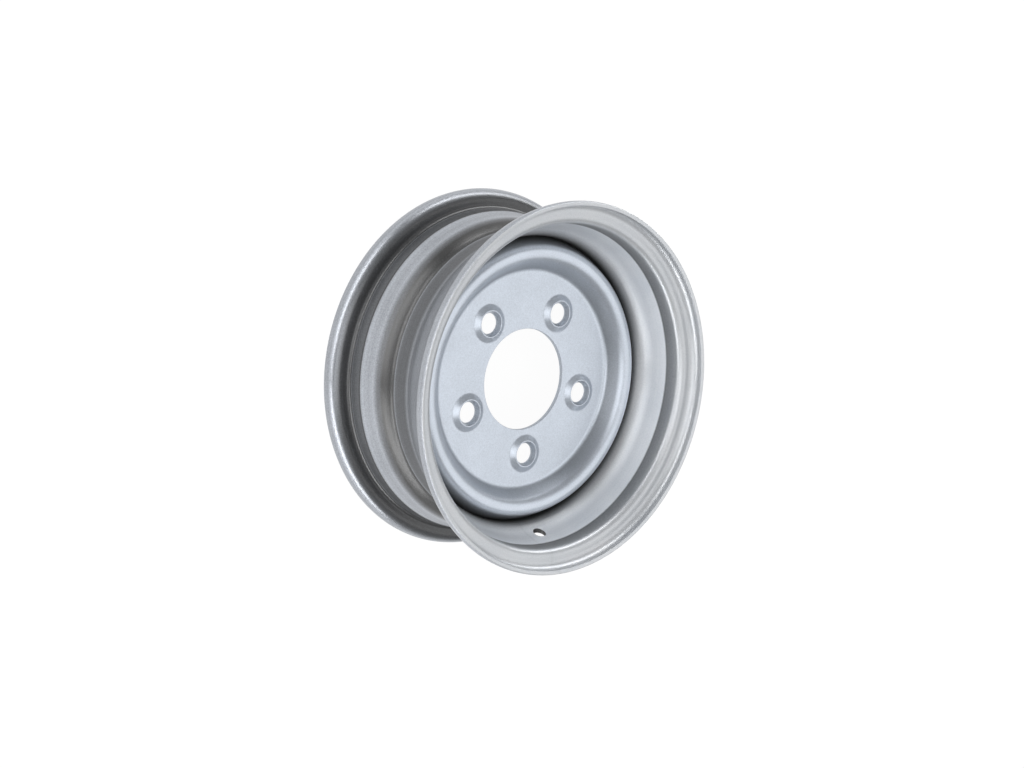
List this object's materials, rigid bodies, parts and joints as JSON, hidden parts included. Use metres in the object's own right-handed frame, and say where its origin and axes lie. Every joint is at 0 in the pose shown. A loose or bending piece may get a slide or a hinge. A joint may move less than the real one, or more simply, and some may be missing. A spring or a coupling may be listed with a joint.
{
  "type": "wheel rim",
  "caption": "Pressed steel drop-centre wheel rim with a dished disc, centre bore, raised conical stud seats and a valve hole; bare, without tyre or valve.",
  "frame": {"origin": "centre of the bore in the hub face, which is the disc's rear face", "axes": "+Z along the wheel's axis towards the outboard side, +X and +Y across it; the first stud hole is 133.75 degrees round from +X"},
  "size_m": [0.3386, 0.3386, 0.145],
  "materials": {
    "rim_steel": "silver grey wheel paint, fine roller grain, satin gloss",
    "disc_steel": "silver grey wheel paint, smooth satin gloss",
    "weld_steel": "painted weld bead, rippled"
  },
  "bodies": {
    "root": {"rim": "rim_steel", "disc": "disc_steel", "disc_weld": "weld_steel"}
  },
  "joints": []
}
